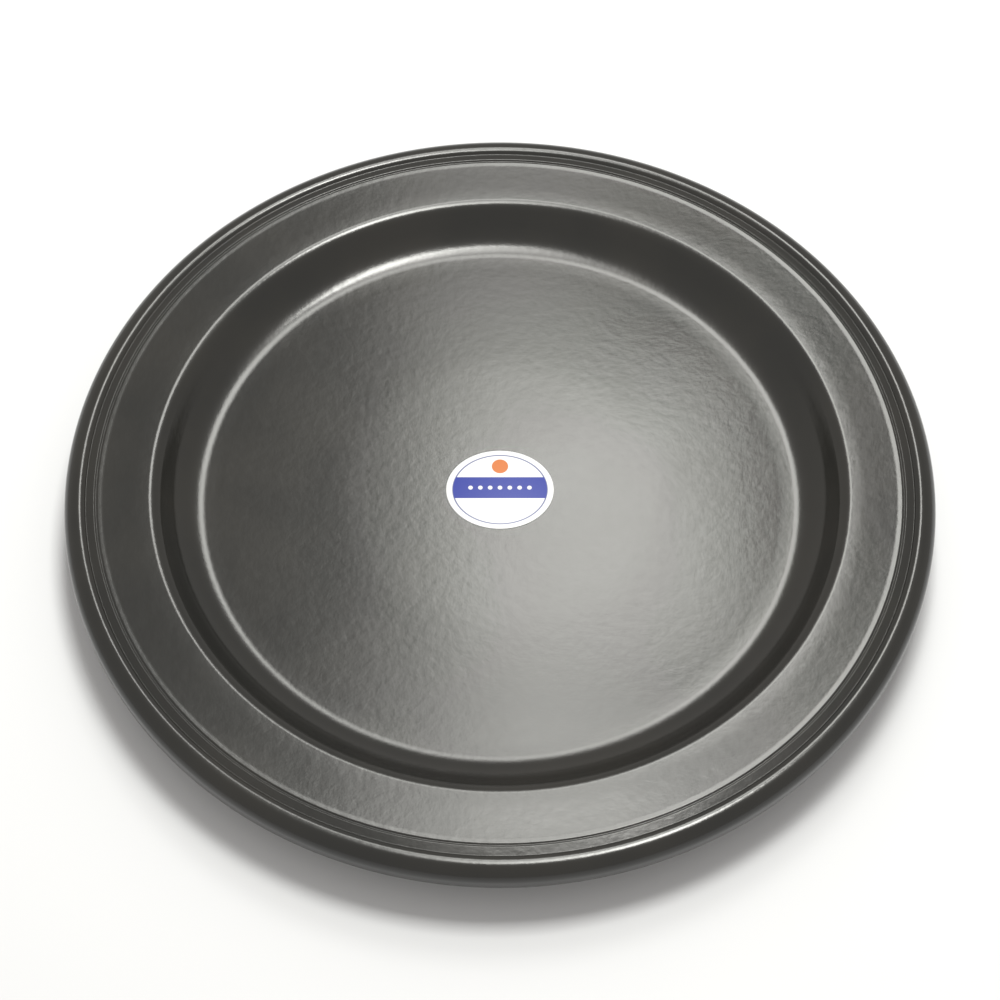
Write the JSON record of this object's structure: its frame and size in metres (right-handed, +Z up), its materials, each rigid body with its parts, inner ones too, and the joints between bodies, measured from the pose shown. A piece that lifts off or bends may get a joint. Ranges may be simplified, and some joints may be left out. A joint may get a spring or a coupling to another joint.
{
  "type": "dinner plate",
  "caption": "Round glazed stoneware dinner plate with a flat shallow well, a wide and nearly level rim, a fine double ridge beside the thick rounded lip, a foot ring and an oval paper label.",
  "frame": {"origin": "on the table, in the middle of the foot ring", "axes": "+Z up along the plate's axis; +X along the label's longer side, to the right of someone who sees the label's dot above its band; +Y from the band towards the dot"},
  "size_m": [0.28, 0.28, 0.025],
  "materials": {
    "bare_clay": "unglazed fired clay, fine grained and matt",
    "satin_glaze": "satin charcoal-black glaze with a fine orange-peel surface",
    "label_paper": "smooth coated paper with a printed ring and a plain coloured band"
  },
  "bodies": {
    "root": {"plate_body": "bare_clay", "glaze_coat": "satin_glaze", "base_glaze": "satin_glaze", "label": "label_paper"}
  },
  "joints": []
}
